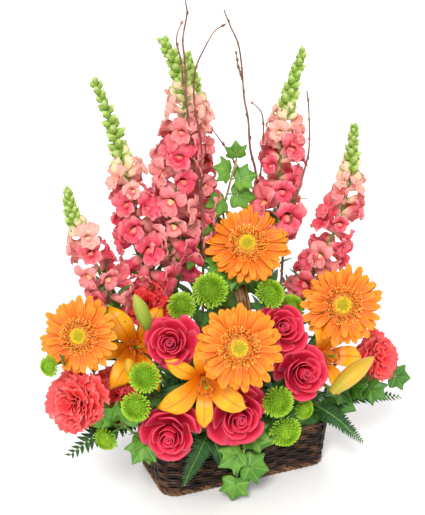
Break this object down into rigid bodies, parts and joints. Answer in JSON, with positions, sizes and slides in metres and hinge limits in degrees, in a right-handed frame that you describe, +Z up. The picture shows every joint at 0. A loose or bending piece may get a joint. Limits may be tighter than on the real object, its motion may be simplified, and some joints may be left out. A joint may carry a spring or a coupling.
{
  "type": "flower basket arrangement",
  "caption": "Cut flowers, willow rods, ivy and fern set in foam in a low oblong woven basket with a band handle arched across its short way.",
  "frame": {"origin": "centre of the basket's flat underside", "axes": "+Z up, along the tall spikes and rods, and against the underside's outward normal; +X along the basket's long side, to the right of someone facing the blooms; -Y the front, which the blooms face"},
  "size_m": [0.4529, 0.2388, 0.5732],
  "materials": {
    "willow_dark": "dark brown woven willow, satin",
    "willow_light": "light brown willow rods, satin",
    "liner_plastic": "dark green film",
    "floral_foam": "fine matte green foam",
    "stem": "waxy green",
    "gerbera": "satin orange petal, yellow towards the tip",
    "lily": "satin amber petal with a darker midrib",
    "rose": "soft pink-crimson petal",
    "carnation": "soft coral petal",
    "snapdragon": "soft coral petal with a cream throat",
    "mum": "soft lime petal",
    "bark": "red-brown bark, satin",
    "ivy": "satin green leaf",
    "fern": "satin dark green leaf"
  },
  "bodies": {
    "root": {"basket": "willow_dark", "carnation_far_left": "carnation", "carnation_left": "carnation", "carnation_right": "carnation", "carnation_upper_left": "carnation", "fern_back": "fern", "fern_front": "fern", "fern_left": "fern", "fern_right": "fern", "foam": "floral_foam", "gerbera_petals_front": "gerbera", "gerbera_petals_left": "gerbera", "gerbera_petals_right": "gerbera", "gerbera_petals_top": "gerbera", "gerbera_stem_front": "stem", "gerbera_stem_left": "stem", "gerbera_stem_right": "stem", "gerbera_stem_top": "stem", "handle": "willow_light", "ivy_back": "ivy", "ivy_front": "ivy", "ivy_left": "ivy", "ivy_right": "ivy", "lily_petals_left": "lily", "lily_petals_middle": "lily", "lily_petals_right": "lily", "lily_stem_left": "stem", "lily_stem_middle": "stem", "lily_stem_right": "stem", "liner": "liner_plastic", "mum_spray_far_left": "mum", "mum_spray_left": "mum", "mum_spray_low_right": "mum", "mum_spray_top": "mum", "mum_spray_upper_right": "mum", "rose_petals_lower_left": "rose", "rose_petals_lower_middle": "rose", "rose_petals_lower_right": "rose", "rose_petals_upper_left": "rose", "rose_petals_upper_right": "rose", "rose_stem_lower_left": "stem", "rose_stem_lower_middle": "stem", "rose_stem_lower_right": "stem", "rose_stem_upper_left": "stem", "rose_stem_upper_right": "stem", "snapdragon_florets_far_left": "snapdragon", "snapdragon_florets_far_right": "snapdragon", "snapdragon_florets_left": "snapdragon", "snapdragon_florets_middle_left": "snapdragon", "snapdragon_florets_middle_right": "snapdragon", "snapdragon_florets_right": "snapdragon", "snapdragon_stem_far_left": "stem", "snapdragon_stem_far_right": "stem", "snapdragon_stem_left": "stem", "snapdragon_stem_middle_left": "stem", "snapdragon_stem_middle_right": "stem", "snapdragon_stem_right": "stem", "willow_left": "bark", "willow_middle": "bark", "willow_right": "bark"}
  },
  "joints": []
}
